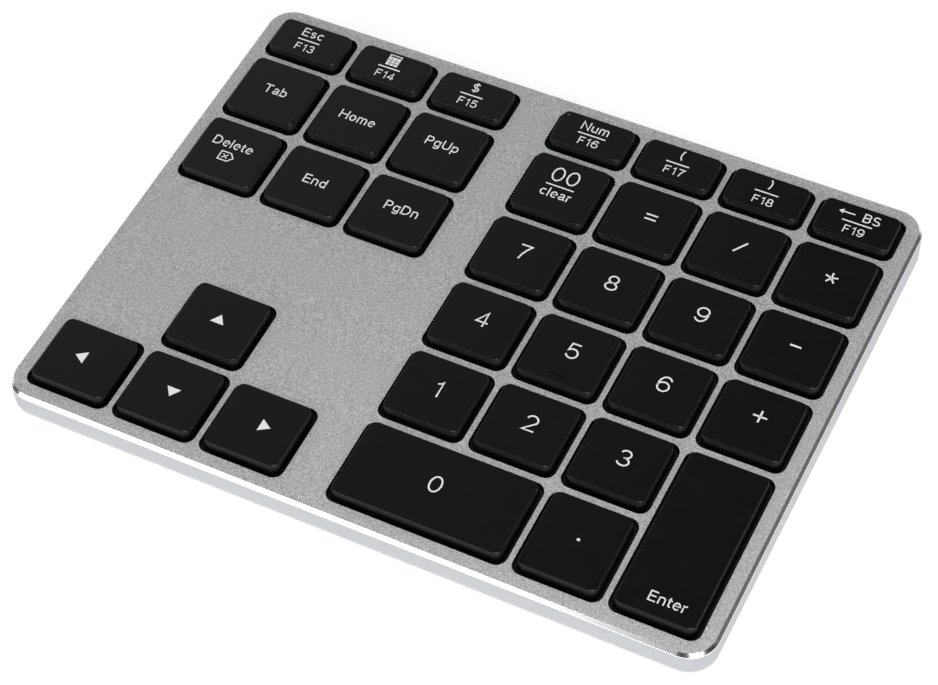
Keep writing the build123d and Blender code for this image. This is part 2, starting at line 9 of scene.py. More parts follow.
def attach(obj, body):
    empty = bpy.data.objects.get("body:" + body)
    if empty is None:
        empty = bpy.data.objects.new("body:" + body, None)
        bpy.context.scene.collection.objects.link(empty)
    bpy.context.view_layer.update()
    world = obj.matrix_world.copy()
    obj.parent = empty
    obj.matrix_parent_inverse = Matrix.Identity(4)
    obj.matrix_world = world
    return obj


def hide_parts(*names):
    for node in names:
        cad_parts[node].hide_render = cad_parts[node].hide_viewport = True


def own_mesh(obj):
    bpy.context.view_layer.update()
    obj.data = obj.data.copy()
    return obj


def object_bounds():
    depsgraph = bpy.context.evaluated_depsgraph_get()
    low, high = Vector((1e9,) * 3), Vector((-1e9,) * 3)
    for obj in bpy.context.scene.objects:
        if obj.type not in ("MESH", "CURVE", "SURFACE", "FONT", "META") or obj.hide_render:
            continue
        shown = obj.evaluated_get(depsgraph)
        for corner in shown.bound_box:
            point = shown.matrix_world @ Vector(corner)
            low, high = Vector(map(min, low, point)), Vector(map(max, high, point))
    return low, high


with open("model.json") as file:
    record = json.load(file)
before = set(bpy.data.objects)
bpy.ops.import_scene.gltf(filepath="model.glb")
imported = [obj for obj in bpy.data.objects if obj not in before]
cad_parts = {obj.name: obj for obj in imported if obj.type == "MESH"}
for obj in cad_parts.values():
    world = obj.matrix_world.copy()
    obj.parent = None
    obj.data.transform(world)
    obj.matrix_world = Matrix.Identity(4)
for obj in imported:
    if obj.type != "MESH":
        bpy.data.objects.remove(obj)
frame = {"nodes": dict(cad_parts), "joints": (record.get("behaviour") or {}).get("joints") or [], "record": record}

nodes = frame["nodes"]
joints = {joint["name"]: joint for joint in frame["joints"]}
bodies = frame["record"]["behaviour"]["bodies"]
bodyOf = {node: body for body, members in bodies.items() for node in members}
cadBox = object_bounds()
mm = 0.001

# The deck leans back, and the keys move along its normal
deckNormal = -Vector(joints["press_7"]["axis"]).normalized()
deckAcross = Vector((1, 0, 0))
deckAlong = deckNormal.cross(deckAcross)
deckTurn = Matrix((deckAcross, deckAlong, deckNormal)).transposed()


def onDeck(across, along, rise):
    return deckTurn @ Vector((across, along, rise))


def homeOn(across, along, rise):
    # carries a shape drawn flat in millimetres to its place on the deck
    return Matrix.Translation(onDeck(across, along, rise)) @ deckTurn.to_4x4() @ Matrix.Scale(mm, 4)


def deckBox(name):
    # lowest and highest corner of a node along the deck's own directions
    points = [deckTurn.transposed() @ vertex.co for vertex in nodes[name].data.vertices]
    return [Vector([pick(point[i] for point in points) for i in range(3)]) for pick in (min, max)]


keyNames = [name for name in nodes if name.startswith("key_")]
keyBoxes = {name: deckBox(name) for name in keyNames}
keyTop = keyBoxes["key_4"][1].z
print("frame loaded:", len(nodes), "nodes,", len(keyNames), "keys")


class Wire:
    # a node's output that can be used in sums
    def __init__(self, paint, socket):
        self.paint = paint
        self.socket = socket

    def work(self, operation, first, second=0.0):
        return self.paint.add("ShaderNodeMath", {"operation": operation}, {0: first, 1: second})

    def __add__(self, other):
        return self.work("ADD", self, other)

    def __sub__(self, other):
        return self.work("SUBTRACT", self, other)

    def __mul__(self, other):
        return self.work("MULTIPLY", self, other)

    def __rsub__(self, other):
        return self.work("SUBTRACT", other, self)

    __radd__ = __add__
    __rmul__ = __mul__

    def size(self):
        return self.work("ABSOLUTE", self)

    def smooth(self, low, high):
        # 0 at low, 1 at high and a soft curve between; with low above high it falls instead
        settings = {"interpolation_type": "SMOOTHSTEP"}
        return self.paint.add("ShaderNodeMapRange", settings, {0: self, 1: low, 2: high}, "Result")


class Graph:
    # a tree of shader nodes
    def __init__(self, tree):
        self.tree = tree

    def add(self, kind, settings=None, values=None, output=0):
        node = self.tree.nodes.new(kind)
        for setting, value in (settings or {}).items():
            setattr(node, setting, value)
        for socket, value in (values or {}).items():
            target = node.inputs[socket]
            if isinstance(value, Wire):
                self.tree.links.new(value.socket, target)
            else:
                target.default_value = value
        return Wire(self, node.outputs[output])

    def place(self):
        return self.add("ShaderNodeTexCoord", output="Object")

    def noise(self, size, detail=2.0, roughness=0.5, place=None):
        # size is that of the noise's features, in metres
        values = {"Vector": place or self.place(), "Scale": 1 / size}
        values.update({"Detail": detail, "Roughness": roughness})
        return self.add("ShaderNodeTexNoise", None, values, "Fac")

    def blend(self, share, first, second):
        # a colour between two colours or two coloured wires
        first, second = (end if isinstance(end, Wire) else (*end, 1) for end in (first, second))
        return self.add("ShaderNodeMix", {"data_type": "RGBA"}, {0: share, 6: first, 7: second}, 2)

    def bump(self, height, depth, strength=1.0):
        values = {"Height": height, "Distance": depth, "Strength": strength}
        return self.add("ShaderNodeBump", None, values, "Normal")

    def parts(self, wire):
        # the three numbers of a vector
        return [self.add("ShaderNodeSeparateXYZ", None, {0: wire}, i) for i in range(3)]


class Paint(Graph):
    # one material: its shader's fixed values are set here, the rest is linked to it
    def __init__(self, name, **fixed):
        self.material = bpy.data.materials.new(name)
        self.material.use_nodes = True
        super().__init__(self.material.node_tree)
        self.shader = self.tree.nodes["Principled BSDF"]
        for socket, value in fixed.items():
            self.shader.inputs[socket.replace("_", " ")].default_value = value

    def link(self, **wires):
        for socket, wire in wires.items():
            self.tree.links.new(wire.socket, self.shader.inputs[socket.replace("_", " ")])
        return self.material


def grey(level, blue=0.0):
    return (level, level, level + blue)


def dress(name, material):
    mesh = nodes[name].data
    mesh.materials.clear()
    mesh.materials.append(material)


def newPiece(name, mesh, material, body):
    piece = bpy.data.objects.new(name, mesh)
    bpy.context.scene.collection.objects.link(piece)
    mesh.materials.clear()
    mesh.materials.append(material)
    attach(piece, body)
    return piece


plateLook = {
    "dark": (0.46, 0.465, 0.483),
    "light": (0.97, 0.975, 0.99),
    "chamfer": (0.93, 0.935, 0.95),
    # painted shade: near-black colour for the walls of the windows
    "window": (0.004, 0.004, 0.005),
    "grain": 0.00034,
    "fine": 0.00014,
    "cloud": 0.05,
    "contrast": (0.32, 0.68),  # noise levels that come out fully dark and fully light
    "depth": 0.000045,
    "roughness": 0.62,
    "grainRoughness": 0.12,
    "chamferRoughness": 0.22,
    "windowRoughness": 0.3,
    "sloping": (0.985, 0.93),  # how far a face points up, for flat and for chamfer
    "upright": (0.6, 0.4),  # the same, for chamfer and for the wall of a window
    "rim": 0.0022,  # case edge to where the walls of windows may start
    "rimBlur": 0.0002,
}


def plateMaterial():
    # bead-blasted and anodised aluminium with a bright cut chamfer round its edge, and painted shade, near black,
    # on the walls of its windows
    look = plateLook
    paint = Paint("platePaint")
    grain = paint.noise(look["grain"], 2.5, 0.65)
    fine = paint.noise(look["fine"], 1.0)
    cloud = paint.noise(look["cloud"], 1.0)
    speckle = (grain * 0.6 + fine * 0.4).smooth(*look["contrast"])
    across, along = paint.parts(paint.place())[:2]
    facing = paint.parts(paint.add("ShaderNodeNewGeometry", output="True Normal"))[2]
    reach = [limit - look["rim"] for limit in cadBox[1][:2]]
    room = (reach[0] - across.size(), reach[1] - along.size())
    inside = room[0].smooth(-look["rimBlur"], 0.0) * room[1].smooth(-look["rimBlur"], 0.0)
    window = inside * facing.smooth(*look["upright"])
    sideways = facing.smooth(*look["sloping"])
    flat = 1 - sideways
    colour = paint.blend(speckle, look["dark"], look["light"])
    colour = paint.blend(cloud * 0.2, colour, look["light"])
    colour = paint.blend(sideways, colour, look["chamfer"])
    # painted shade: the walls of the windows are painted near black
    colour = paint.blend(window, colour, look["window"])
    rough = (look["roughness"] + speckle * look["grainRoughness"]) * flat
    rough = rough + sideways * look["chamferRoughness"] + window * look["windowRoughness"]
    bump = paint.bump((grain * 0.7 + fine * 0.3) * flat, look["depth"])
    return paint.link(Base_Color=colour, Roughness=rough, Metallic=1 - window, Normal=bump)


housingLook = {
    "colour": (0.59, 0.605, 0.635),
    "shade": 0.95,
    "cloud": 0.03,
    "orangePeel": 0.0012,
    "depth": 0.000006,
    "roughness": 0.38,
}


def housingMaterial():
    # smooth white moulded plastic
    look = housingLook
    paint = Paint("housingPaint", IOR=1.48, Subsurface_Weight=0.04, Subsurface_Scale=0.002)
    peel = paint.noise(look["orangePeel"], 2.0)
    cloud = paint.noise(look["cloud"], 1.5)
    darker = tuple(channel * look["shade"] for channel in look["colour"])
    colour = paint.blend(cloud, look["colour"], darker)
    rough = look["roughness"] + peel * 0.08
    return paint.link(Base_Color=colour, Roughness=rough, Normal=paint.bump(peel, look["depth"]))


dress("deck_plate", plateMaterial())
dress("bottom_housing", housingMaterial())
print("case dressed")

keyLook = {
    "dark": (0.0012, 0.0012, 0.0014),
    "light": (0.0028, 0.0028, 0.0031),
    # painted highlight: the lighter colour of the key edges
    "edge": (0.010, 0.010, 0.011),
    "grain": 0.00022,
    "cloud": 0.004,
    "depth": 0.000006,
    "roughness": 0.25,
    "edgePolish": 0.14,
}


def keyMaterial():
    # matt black moulded plastic, polished a little on its edges, which also get a painted highlight: a lighter
    # colour
    look = keyLook
    paint = Paint("keyPaint", IOR=1.41)
    grain = paint.noise(look["grain"], 2.0, 0.6)
    cloud = paint.noise(look["cloud"], 2.0)
    facing = paint.parts(paint.add("ShaderNodeNewGeometry", output="Normal"))[2]
    edge = facing.smooth(0.985, 0.93) * facing.smooth(0.15, 0.5)  # neither flat top nor side wall
    colour = paint.blend(cloud, look["dark"], look["light"])
    # painted highlight: the edges are painted lighter
    colour = paint.blend(edge, colour, look["edge"])
    rough = look["roughness"] + grain * 0.1 + cloud * 0.05 - edge * look["edgePolish"]
    return paint.link(Base_Color=colour, Roughness=rough, Normal=paint.bump(grain, look["depth"]))


keyPaint = keyMaterial()
for name in keyNames:
    dress(name, keyPaint)
dress("power_switch_knob", keyPaint)
print("keys dressed")

# Millimetres, but for letterStroke, stretch, spacing and digitWidth, which go with a letter's height
legendLook = {
    "height": 0.03,
    "sunk": 0.012,
    "digit": 3.8,
    "word": 2.3,
    "function": 2.0,
    "stroke": 0.34,
    "letterStroke": 0.118,
    "stretch": 1.3,
    "spacing": 0.13,
    "digitWidth": 0.6,
}


def arc(across, along, wide, tall, first, last, steps=22):
    # points on part of an ellipse, angles in degrees
    turns = [radians(first + (last - first) * i / steps) for i in range(steps + 1)]
    return [(across + wide * cos(turn), along + tall * sin(turn)) for turn in turns]


# Each digit is drawn by the middle line of its strokes, one unit tall; True closes a stroke
digitStrokes = {
    "0": [(arc(0, 0.5, 0.3, 0.45, 0, 345, 23), True)],
    "1": [([(-0.17, 0.78), (0.02, 0.84), (0.09, 0.95), (0.09, 0.0)], False)],
    "2": [(arc(0, 0.68, 0.29, 0.27, 165, -28) + [(-0.3, 0.05), (0.32, 0.05)], False)],
    "3": [
        (arc(0, 0.73, 0.26, 0.22, 165, -90) + [(-0.06, 0.51)], False),
        ([(-0.06, 0.51)] + arc(0, 0.28, 0.3, 0.23, 90, -165), False),
    ],
    "4": [([(0.13, 0.0), (0.13, 0.93), (-0.31, 0.27), (0.33, 0.27)], False)],
    "5": [([(0.27, 0.95), (-0.19, 0.95), (-0.26, 0.5)] + arc(0, 0.34, 0.3, 0.29, 140, -160), False)],
    "6": [
        (arc(0, 0.33, 0.3, 0.28, 0, 345, 23), True),
        (arc(0.04, 0.5, 0.34, 0.45, 205, 38), False),
    ],
    "7": [([(-0.3, 0.95), (0.31, 0.95), (0.08, 0.6), (-0.04, 0.3), (-0.1, 0.0)], False)],
    "8": [(arc(0, 0.73, 0.25, 0.22, 0, 345, 23), True), (arc(0, 0.28, 0.3, 0.23, 0, 345, 23), True)],
}
digitStrokes["9"] = [([(-x, 1 - y) for x, y in points], closed) for points, closed in digitStrokes["6"]]


def ribbon(mesh, points, width, low, high, closed=False):
    # a flat bar of even width along a middle line, with square ends; sharp corners are kept short
    sections = []
    for i, point in enumerate(points):
        before = points[i - 1] if closed or i else point
        after = points[(i + 1) % len(points)] if closed or i < len(points) - 1 else point
        steps = [Vector(point) - Vector(before), Vector(after) - Vector(point)]
        ways = [step.normalized() for step in steps if step.length > 1e-9]
        way = sum(ways, Vector((0, 0))).normalized()
        reach = width / 2 / max(way.dot(ways[-1]), 0.5)
        side = Vector((-way.y, way.x)) * reach
        edges = (Vector(point) + side, Vector(point) - side)
        corners = [(edges[0], high), (edges[1], high), (edges[1], low), (edges[0], low)]
        sections.append([mesh.verts.new((edge.x, edge.y, level)) for edge, level in corners])
    pairs = list(zip(sections, sections[1:] + sections[:1]))
    for first, second in pairs if closed else pairs[:-1]:
        for j in range(4):
            mesh.faces.new((first[j], first[(j + 1) % 4], second[(j + 1) % 4], second[j]))
    if not closed:
        mesh.faces.new(sections[0][::-1])
        mesh.faces.new(sections[-1])


def plug(mesh, points, low, high):
    # a filled flat shape
    top = [mesh.verts.new((x, y, high)) for x, y in points]
    bottom = [mesh.verts.new((x, y, low)) for x, y in points]
    mesh.faces.new(top)
    mesh.faces.new(bottom[::-1])
    for i in range(len(points)):
        j = (i + 1) % len(points)
        mesh.faces.new((top[i], bottom[i], bottom[j], top[j]))


def ring(across, along, wide, tall):
    return (arc(across, along, wide, tall, 0, 345, 23), True)


def path(*points):
    return ([*points], False)


# Middle lines shared by the letters, in heights of a capital
stem = 0.065
foot = 0.065
waist = 0.52
small = 0.7
roof = 0.935
bowl = ring(0.255, 0.36, 0.19, 0.3)
curve = arc(0.29, 0.715, 0.205, 0.22, 30, 270) + arc(0.29, 0.28, 0.225, 0.215, 90, -150)
upperBowl = arc(0.29, 0.7275, 0.2, 0.2075, 90, -90)

# Each letter: its width, then the middle lines of its strokes
letterStrokes = {
    "B": (0.53, [
        path((stem, waist), (stem, roof), (0.29, roof), *upperBowl, (stem, waist)),
        path((stem, waist), (stem, foot), (0.3, foot), *arc(0.3, 0.2925, 0.2, 0.2275, -90, 90)),
    ]),
    "D": (0.655, [([(stem, foot), (stem, roof), (0.27, roof)] + arc(0.27, 0.5, 0.32, 0.435, 90, -90), True)]),
    "E": (0.54, [
        path((0.52, roof), (stem, roof), (stem, foot), (0.54, foot)),
        path((stem, waist), (0.49, waist)),
    ]),
    "F": (0.5, [path((0.5, roof), (stem, roof), (stem, 0)), path((stem, 0.5), (0.44, 0.5))]),
    "H": (0.665, [path((stem, 0), (stem, 1)), path((0.6, 0), (0.6, 1)), path((stem, waist), (0.6, waist))]),
    "N": (0.635, [path((stem, 0), (stem, 0.97), (0.57, 0.03), (0.57, 1))]),
    "P": (0.55, [
        path((stem, 0), (stem, roof), (0.3, roof), *arc(0.3, 0.69, 0.2, 0.245, 90, -90), (stem, 0.445)),
    ]),
    "S": (0.56, [path(*curve)]),
    "T": (0.58, [path((0, roof), (0.58, roof)), path((0.29, roof), (0.29, 0))]),
    "U": (0.62, [path((stem, 1), *arc(0.31, 0.32, 0.245, 0.255, 180, 360), (0.555, 1))]),
    "a": (0.46, [
        path(*arc(0.225, 0.52, 0.155, 0.155, 165, 0), (0.38, 0.12), (0.46, 0.06)),
        path((0.38, 0.41), (0.25, 0.385), *arc(0.2, 0.21, 0.14, 0.15, 80, 320), (0.38, 0.2)),
    ]),
    "b": (0.5, [path((stem, 1), (stem, 0)), bowl]),
    "c": (0.45, [path(*arc(0.25, 0.37, 0.19, 0.305, 45, 315))]),
    "d": (0.51, [path((0.445, 1), (0.445, 0)), bowl]),
    "e": (0.49, [path((0.06, 0.39), *arc(0.255, 0.37, 0.195, 0.305, 5, 315))]),
    "g": (0.505, [bowl, path((0.44, small), *arc(0.25, -0.02, 0.19, 0.18, 0, -145))]),
    "l": (0.13, [path((stem, 1), (stem, 0))]),
    "m": (0.73, [
        path((stem, 0), (stem, small)),
        path(*arc(0.215, 0.48, 0.15, 0.195, 180, 0), (0.365, 0)),
        path(*arc(0.515, 0.48, 0.15, 0.195, 180, 0), (0.665, 0)),
    ]),
    "n": (0.49, [path((stem, 0), (stem, small)), path(*arc(0.245, 0.45, 0.18, 0.225, 180, 0), (0.425, 0))]),
    "o": (0.5, [ring(0.25, 0.365, 0.19, 0.305)]),
    "p": (0.51, [path((stem, small), (stem, -0.26)), bowl]),
    "r": (0.3, [path((stem, 0), (stem, small)), path(*arc(0.26, 0.42, 0.195, 0.245, 180, 85))]),
    "s": (0.44, [path(*arc(0.22, 0.525, 0.15, 0.15, 30, 270), *arc(0.22, 0.22, 0.165, 0.155, 90, -150))]),
    "t": (0.26, [
        path((0.11, 0.9), (0.11, 0.17), (0.16, 0.085), (0.26, 0.075)),
        path((0, 0.665), (0.26, 0.665)),
    ]),
    "u": (0.48, [
        path((stem, small), *arc(0.24, 0.27, 0.175, 0.2, 180, 360), (0.415, small)),
        path((0.415, 0.3), (0.415, 0)),
    ]),
    "$": (0.58, [path(*curve), path((0.29, 1.09), (0.29, -0.09))]),
    "(": (0.24, [path(*arc(0.42, 0.42, 0.33, 0.66, 125, 235))]),
    ")": (0.24, [path(*arc(-0.18, 0.42, 0.33, 0.66, 55, -55))]),
}
letterStrokes["e"][1].append(path((0.06, 0.39), (0.45, 0.39)))  # the bar of the e


def word(mesh, words, across, baseline, tall, low, high):
    # letters side by side about a middle, with capitals that tall
    placed = []
    edge = 0.0
    for sign in words:
        if sign in letterStrokes:
            width, strokes = letterStrokes[sign]
            stretch, shift = legendLook["stretch"], 0.0
        else:
            width, strokes = legendLook["digitWidth"], digitStrokes[sign]
            stretch, shift = 1.0, width / 2
        placed.append((edge, stretch, shift, strokes))
        edge += width * stretch + legendLook["spacing"]
    start = across - (edge - legendLook["spacing"]) * tall / 2
    for edge, stretch, shift, strokes in placed:
        for points, closed in strokes:
            left = edge + shift
            stroke = [(start + (left + x * stretch) * tall, baseline + y * tall) for x, y in points]
            ribbon(mesh, stroke, legendLook["letterStroke"] * tall, low, high, closed)


def digit(mesh, sign, across, bottom, tall, low, high):
    for points, closed in digitStrokes[sign]:
        placed = [(across + x * tall, bottom + y * tall) for x, y in points]
        ribbon(mesh, placed, legendLook["stroke"], low, high, closed)


def line(mesh, start, end, low, high, width=0.3):
    ribbon(mesh, [start, end], width, low, high)


def frameOf(x0, y0, x1, y1):
    return [(x0, y0), (x1, y0), (x1, y1), (x0, y1)]


def calculatorIcon(mesh, across, along, low, high):
    ribbon(mesh, frameOf(across - 1.28, along + 0.72, across + 1.28, along + 1.38), 0.24, low, high, True)
    for row in range(3):
        for column in range(3):
            x = across + (column - 1) * 0.96
            y = along - 1.22 + row * 0.74
            plug(mesh, frameOf(x - 0.4, y - 0.29, x + 0.4, y + 0.29), low, high)


def forwardDeleteIcon(mesh, across, along, low, high):
    shape = [(-1.5, -1.1), (0.65, -1.1), (1.55, 0), (0.65, 1.1), (-1.5, 1.1)]
    ribbon(mesh, [(across + x, along + y) for x, y in shape], 0.26, low, high, True)
    for turn in (-1, 1):
        line(mesh, (across - 0.85, along - 0.5 * turn), (across + 0.25, along + 0.5 * turn), low, high, 0.24)


def leftArrow(mesh, across, along, low, high):
    line(mesh, (across - 1.0, along), (across + 1.65, along), low, high, 0.3)
    tip = [(-1.7, 0), (-0.75, -0.65), (-0.75, 0.65)]
    plug(mesh, [(across + x, along + y) for x, y in tip], low, high)


def twoLines(upper, lower, shift=-0.3, half=2.5, level=-0.05):
    # a mark over a dividing line over a function key's name
    return upper + [
        (line, (shift - half, level), (shift + half, level)),
        (word, lower, shift, -3.05, legendLook["function"]),
    ]


wordTall = legendLook["word"]
digitTall = legendLook["digit"]

# What stands on each key: a drawing function and its values, in millimetres from the key's middle
legends = {
    "key_escape": twoLines([(word, "Esc", -0.4, 1.0, wordTall)], "F13", -0.4),
    "key_calculator": twoLines([(calculatorIcon, -0.4, 2.2)], "F14", -0.4),
    "key_dollar": twoLines([(word, "$", -0.3, 1.1, wordTall)], "F15", -0.3),
    "key_num_lock": twoLines([(word, "Num", -0.05, 0.75, wordTall)], "F16", -0.05, 3.05, -0.2),
    "key_open_bracket": twoLines([(word, "(", -0.2, 1.4, wordTall)], "F17", -0.2),
    "key_close_bracket": twoLines([(word, ")", 0.05, 1.45, wordTall)], "F18", -0.1, 2.5, 0.1),
    "key_backspace": twoLines([(leftArrow, -2.75, 1.95), (word, "BS", 2.4, 0.8, wordTall)], "F19", 0.0, 3.1),
    "key_tab": [(word, "Tab", 0.1, -1.0, wordTall)],
    "key_home": [(word, "Home", 0.2, -1.0, wordTall)],
    "key_page_up": [(word, "PgUp", 0.3, -0.3, wordTall)],
    "key_delete": [(word, "Delete", -0.6, 0.7, wordTall), (forwardDeleteIcon, -0.4, -1.6)],
    "key_end": [(word, "End", 0.3, -1.1, wordTall)],
    "key_page_down": [(word, "PgDn", 0.6, -0.65, wordTall)],
    "key_up": [(plug, [(-1.42, -0.55), (1.52, -0.55), (0.05, 1.6)])],
    "key_left": [(plug, [(0.25, -1.4), (0.25, 1.5), (-1.95, 0.05)])],
    "key_down": [(plug, [(-0.98, 0.9), (0.5, -1.2), (1.98, 0.9)])],
    "key_right": [(plug, [(0.5, -1.25), (2.7, 0.15), (0.5, 1.55)])],
    "key_double_zero": [
        (digit, "0", -1.75, 1.2, digitTall),
        (digit, "0", 1.45, 1.2, digitTall),
        (line, (-3.2, 0.15), (2.9, 0.15)),
        (word, "clear", -0.15, -2.95, wordTall),
    ],
    "key_equals": [(line, (-0.62, 0.95), (1.83, 0.95), 0.36), (line, (-0.62, -0.2), (1.83, -0.2), 0.36)],
    "key_divide": [(line, (-0.47, -0.95), (1.58, 1.95), 0.38)],
    "key_multiply": [
        (line, (0.5, 0.5), (0.5 + 1.35 * cos(radians(turn)), 0.5 + 1.35 * sin(radians(turn))), 0.36)
        for turn in range(90, 450, 72)
    ],
    "key_minus": [(line, (-0.68, 0.72), (1.58, 0.72), 0.42)],
    "key_plus": [(line, (-0.77, 1.1), (2.03, 1.1), 0.38), (line, (0.63, -0.3), (0.63, 2.5), 0.38)],
    "key_point": [(plug, frameOf(0.1, 0.12, 0.66, 0.68))],
    "key_0": [(digit, "0", 0.03, -1.4, digitTall)],
    "key_enter": [(word, "Enter", 1.25, -15.25, wordTall)],
}
digitPlaces = {
    "1": (0.3, -1.34),
    "2": (0.53, -1.34),
    "3": (0.6, -1.34),
    "4": (0.63, -1.16),
    "5": (0.58, -1.2),
    "6": (0.43, -1.2),
    "7": (0.5, -1.43),
    "8": (0.53, -1.43),
    "9": (0.43, -1.43),
}
for sign, (across, bottom) in digitPlaces.items():
    legends["key_" + sign] = [(digit, sign, across, bottom, digitTall)]


def inkMaterial():
    # white ink, a little worn and uneven
    paint = Paint("legendInk", Roughness=0.5)
    wear = paint.noise(0.0004, 3.0)
    return paint.link(Base_Color=paint.blend(wear, grey(0.90), grey(0.98)), Roughness=wear * 0.2 + 0.4)


def makeLegends():
    ink = inkMaterial()
    low, high = -legendLook["sunk"], legendLook["height"] - legendLook["sunk"]
    for name, marks in legends.items():
        shape = bmesh.new()
        for draw, *values in marks:
            if draw is line:
                start, end, *width = values
                draw(shape, start, end, low, high, *width)
            else:
                draw(shape, *values, low, high)
        mesh = bpy.data.meshes.new(name.replace("key_", "legend_"))
        bmesh.ops.recalc_face_normals(shape, faces=shape.faces)
        shape.to_mesh(mesh)
        shape.free()
        lowest, highest = keyBoxes[name]
        middle = (lowest + highest) / 2
        mesh.transform(homeOn(middle.x, middle.y, keyTop))
        newPiece(mesh.name, mesh, ink, bodyOf[name])


makeLegends()
print("legends drawn")

# Millimetres, but for keep, which is a share of a mechanism's height
linkLook = {
    "width": 11.0,
    "length": 10.5,
    "bar": 0.8,
    "thick": 0.6,
    "edge": 0.12,
    "play": 0.25,
    "gap": 0.15,
    "capWall": 0.8,
    "headroom": 0.1,
    "keep": 0.47,
}
domeLook = {"base": 2.5, "top": 1.3, "pip": 0.35, "steps": 28}


def addMechanism(name, shape, home, material, key, slotName, stands):
    # a smooth-shaded piece fixed to the case under a key, in place of the part it stands for
    mesh = bpy.data.meshes.new(name)
    bmesh.ops.recalc_face_normals(shape, faces=shape.faces)
    shape.to_mesh(mesh)
    shape.free()
    for polygon in mesh.polygons:
        polygon.use_smooth = True
    mesh.transform(home)
    piece = newPiece(name, mesh, material, "case")
    "press_" + key
    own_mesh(piece)
    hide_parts(stands)


def linkFrame(shape, width, length, lean, room):
    # four bars in a rectangle, rounded at their edges and leaning about the middle
    look = linkLook
    half = look["thick"] / 2
    across = (width - look["bar"]) / 2
    along = (length - look["bar"]) / 2
    bars = bmesh.new()
    ribbon(bars, frameOf(-across, -along, across, along), look["bar"], -half, half, closed=True)
    bmesh.ops.bevel(bars, geom=bars.edges[:], offset=look["edge"], segments=2, affect="EDGES", profile=0.5)
    turn = Matrix.Translation((0, 0, room / 2)) @ Matrix.Rotation(lean, 4, "X")
    bmesh.ops.transform(bars, matrix=turn, verts=bars.verts)
    part = bpy.data.meshes.new("bars")
    bars.to_mesh(part)
    bars.free()
    shape.from_mesh(part)


def domeShape(height):
    # a closed bell: a flared foot, a cone and a flat crown with a shallow dip in its middle
    look = domeLook
    base, top, pip = look["base"], look["top"], look["pip"]
    profile = [(base, 0), (base - 0.05, 0.22), (base - 0.5, 0.55)]
    profile += [(top + 0.12, height - 0.75), (top, height - 0.45), (top - 0.12, height - 0.06)]
    profile += [(top - 0.3, height), (pip, height), (pip - 0.05, height - 0.12)]
    turns = [2 * pi * i / look["steps"] for i in range(look["steps"])]
    shape = bmesh.new()
    rows = []
    for radius, level in profile:
        rows.append([shape.verts.new((radius * cos(turn), radius * sin(turn), level)) for turn in turns])
    for lower, upper in zip(rows, rows[1:]):
        for i in range(look["steps"]):
            j = (i + 1) % look["steps"]
            shape.faces.new((lower[i], lower[j], upper[j], upper[i]))
    shape.faces.new(rows[0][::-1])
    shape.faces.new(rows[-1])
    return shape


def plasticMaterial(name, dark, light, grain, roughness, **fixed):
    paint = Paint(name, **fixed)
    fine = paint.noise(grain, 2.0)
    rough = fine * 0.12 + roughness
    bump = paint.bump(fine, grain * 0.02)
    return paint.link(Base_Color=paint.blend(fine, dark, light), Roughness=rough, Normal=bump)


def metalMaterial(name, dark, light, grain, roughness):
    # rolled or drawn metal: its grain is stretched along the rows
    paint = Paint(name, Metallic=1.0)
    across, along, up = paint.parts(paint.place())
    stretched = paint.add("ShaderNodeCombineXYZ", None, {0: across * 0.12, 1: along, 2: up})
    streak = paint.noise(grain, 3.0, 0.6, stretched)
    cloud = paint.noise(0.012, 2.0)
    colour = paint.blend(streak * 0.7 + cloud * 0.3, dark, light)
    return paint.link(
        Base_Color=colour,
        Roughness=streak * 0.15 + roughness,
        Normal=paint.bump(streak, grain * 0.02),
    )


# dark plastic painted near black, as painted shade for the gaps under the keys
scissorPaint = plasticMaterial("scissorPaint", grey(0.006), grey(0.012), 0.0008, 0.4)
domePaint = plasticMaterial("domePaint", grey(0.012), grey(0.022), 0.0015, 0.45)


def makeKeyMechanisms():
    look = linkLook
    floorRise, domeHigh = (corner.z for corner in deckBox("rubber_domes"))
    domeTall = (domeHigh - floorRise) / mm
    room = domeTall + look["headroom"]  # membrane to the roof inside a keycap
    for name, (lowest, highest) in keyBoxes.items():
        key = name[4:]
        middle = (lowest + highest) / 2
        home = homeOn(middle.x, middle.y, floorRise)
        depth = (highest.y - lowest.y) / mm - 2 * look["capWall"] - 2 * look["play"]
        length = min(look["length"], depth)
        lean = asin((room - look["thick"] - 2 * look["play"]) / (length - look["bar"]))
        shape = bmesh.new()
        linkFrame(shape, look["width"], length, lean, room)
        linkFrame(shape, look["width"] - 2 * (look["bar"] + look["gap"]), length, -lean, room)
        scissor = ("scissor_" + key, shape, home, scissorPaint)
        addMechanism(*scissor, key, "scissor_plastic", "scissor_outer_frames")
        dome = ("dome_" + key, domeShape(domeTall), home, domePaint)
        addMechanism(*dome, key, "dome_silicone", "rubber_domes")
    # every scissor piece holds an inner frame too, so both frame parts are hidden
    first = bpy.data.objects["scissor_" + keyNames[0][4:]]
    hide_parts("scissor_inner_frames", "scissor_outer_frames")


makeKeyMechanisms()
print("key mechanisms made")

lensGrey = (grey(0.035, 0.002), grey(0.06, 0.003))
boardGreen = ((0.008, 0.075, 0.03), (0.02, 0.13, 0.055))
leadRed = ((0.30, 0.01, 0.01), (0.45, 0.02, 0.015))

